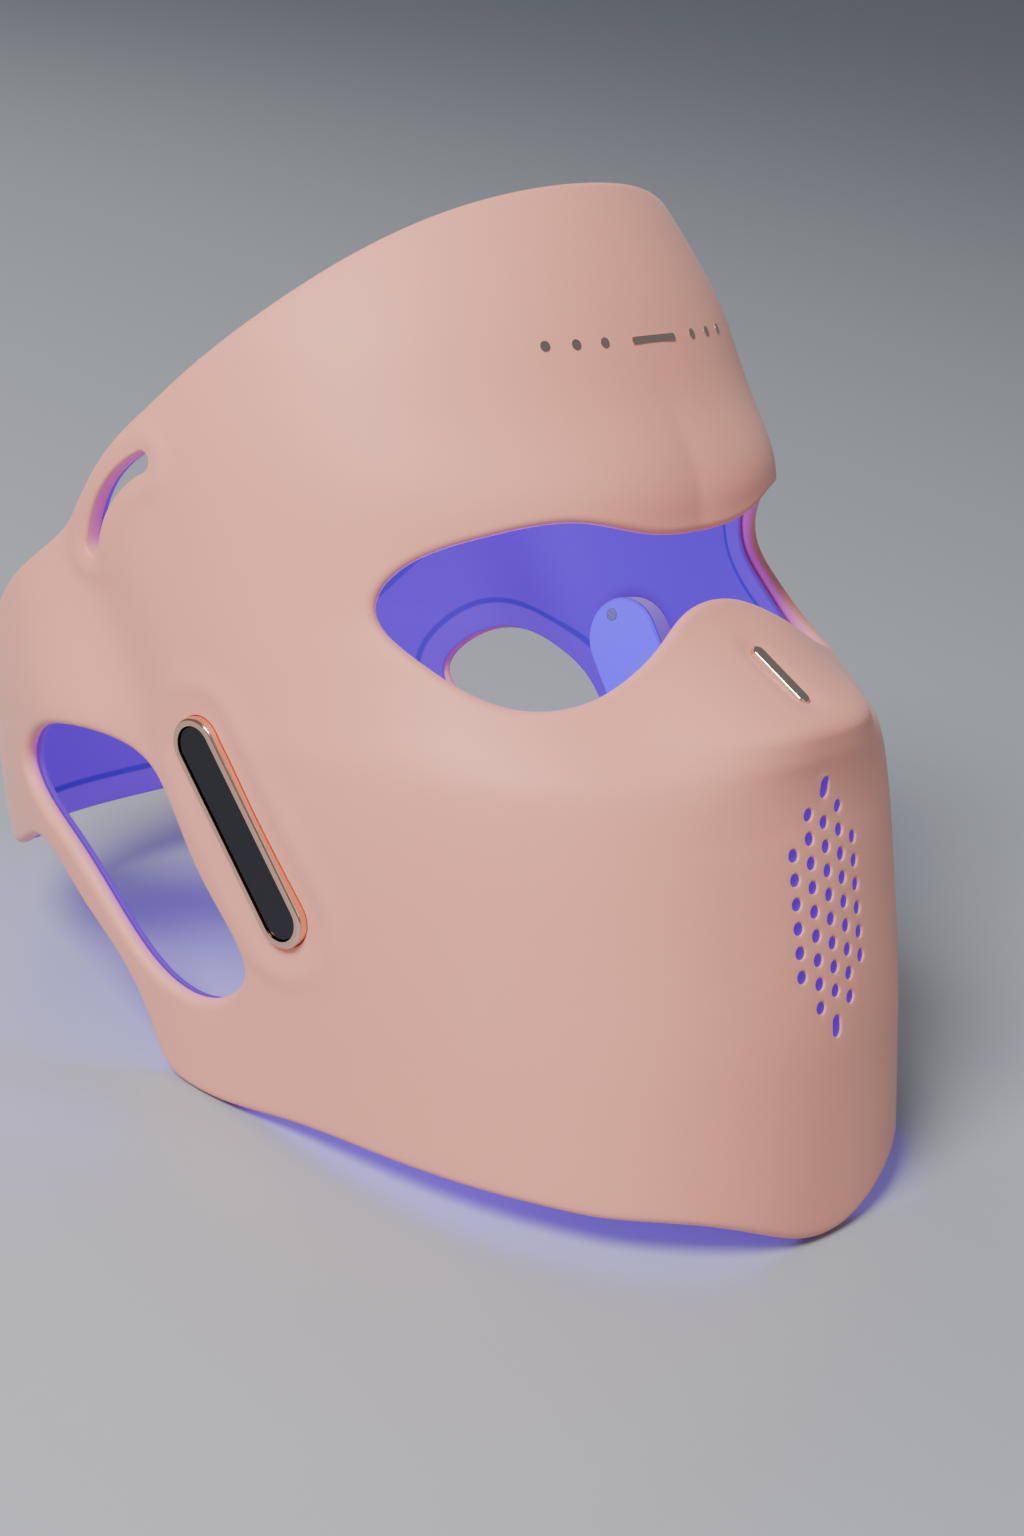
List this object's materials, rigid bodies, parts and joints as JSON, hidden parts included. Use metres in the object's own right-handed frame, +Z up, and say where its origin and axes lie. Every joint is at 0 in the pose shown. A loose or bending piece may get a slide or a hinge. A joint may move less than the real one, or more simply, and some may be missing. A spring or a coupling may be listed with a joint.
{
  "type": "light therapy face mask",
  "caption": "Soft silicone full-face light therapy mask with a wrap-round rear band, one visor opening, ear openings, breathing holes, strap slots and a sprung key pod at each cheek.",
  "frame": {"origin": "under the middle of the mask, on the surface that it rests on", "axes": "+Z up, the face looks along -Y, +X is the wearer's left; the mask leans back on its chin and the two rear corners of its jaw"},
  "size_m": [0.163, 0.238, 0.2061],
  "materials": {
    "silicone_rose": "matte",
    "liner_violet": "translucent, lit from behind",
    "flex_film": "satin polyimide film",
    "led_chip": "gloss",
    "rose_gold": "polished",
    "black_gloss": "piano gloss",
    "pod_plastic": "fine matte",
    "steel": "bright",
    "circuit_board": "solder mask",
    "chip_black": "moulded",
    "battery_foil": "satin foil",
    "polished_nickel": "polished"
  },
  "bodies": {
    "root": {"battery_cell": "battery_foil", "control_board": "circuit_board", "driver_chips": "chip_black", "flex_tail_left": "flex_film", "flex_tail_right": "flex_film", "forehead_inlay": "polished_nickel", "inner_liner": "liner_violet", "key_bezel_left": "rose_gold", "key_bezel_right": "rose_gold", "led_board_cheek_left": "flex_film", "led_board_cheek_right": "flex_film", "led_board_chin": "flex_film", "led_board_forehead": "flex_film", "leds_cheek_left": "led_chip", "leds_cheek_right": "led_chip", "leds_chin": "led_chip", "leds_forehead": "led_chip", "nose_bar": "polished_nickel", "nose_bar_clips": "steel", "outer_shell": "silicone_rose", "pod_case_left": "pod_plastic", "pod_case_right": "pod_plastic", "pod_cover_left": "pod_plastic", "pod_cover_right": "pod_plastic", "pod_screws_left": "steel", "pod_screws_right": "steel", "switch_board": "circuit_board", "tact_switches_left": "chip_black", "tact_switches_right": "chip_black", "usb_socket": "steel"},
    "power_key": {"power_key": "black_gloss", "key_plungers_right": "chip_black"},
    "mode_key": {"mode_key": "black_gloss", "key_plungers_left": "chip_black"}
  },
  "joints": [
    {"name": "power_key_press", "type": "slide", "parent": "root", "child": "power_key", "axis": [0.9955, 0.015, 0.094], "range_m": [0, 0.0006], "stiffness_N_per_m": 300, "springref_m": -0.001},
    {"name": "mode_key_press", "type": "slide", "parent": "root", "child": "mode_key", "axis": [-0.9955, 0.015, 0.094], "range_m": [0, 0.0006], "stiffness_N_per_m": 300, "springref_m": -0.001}
  ]
}
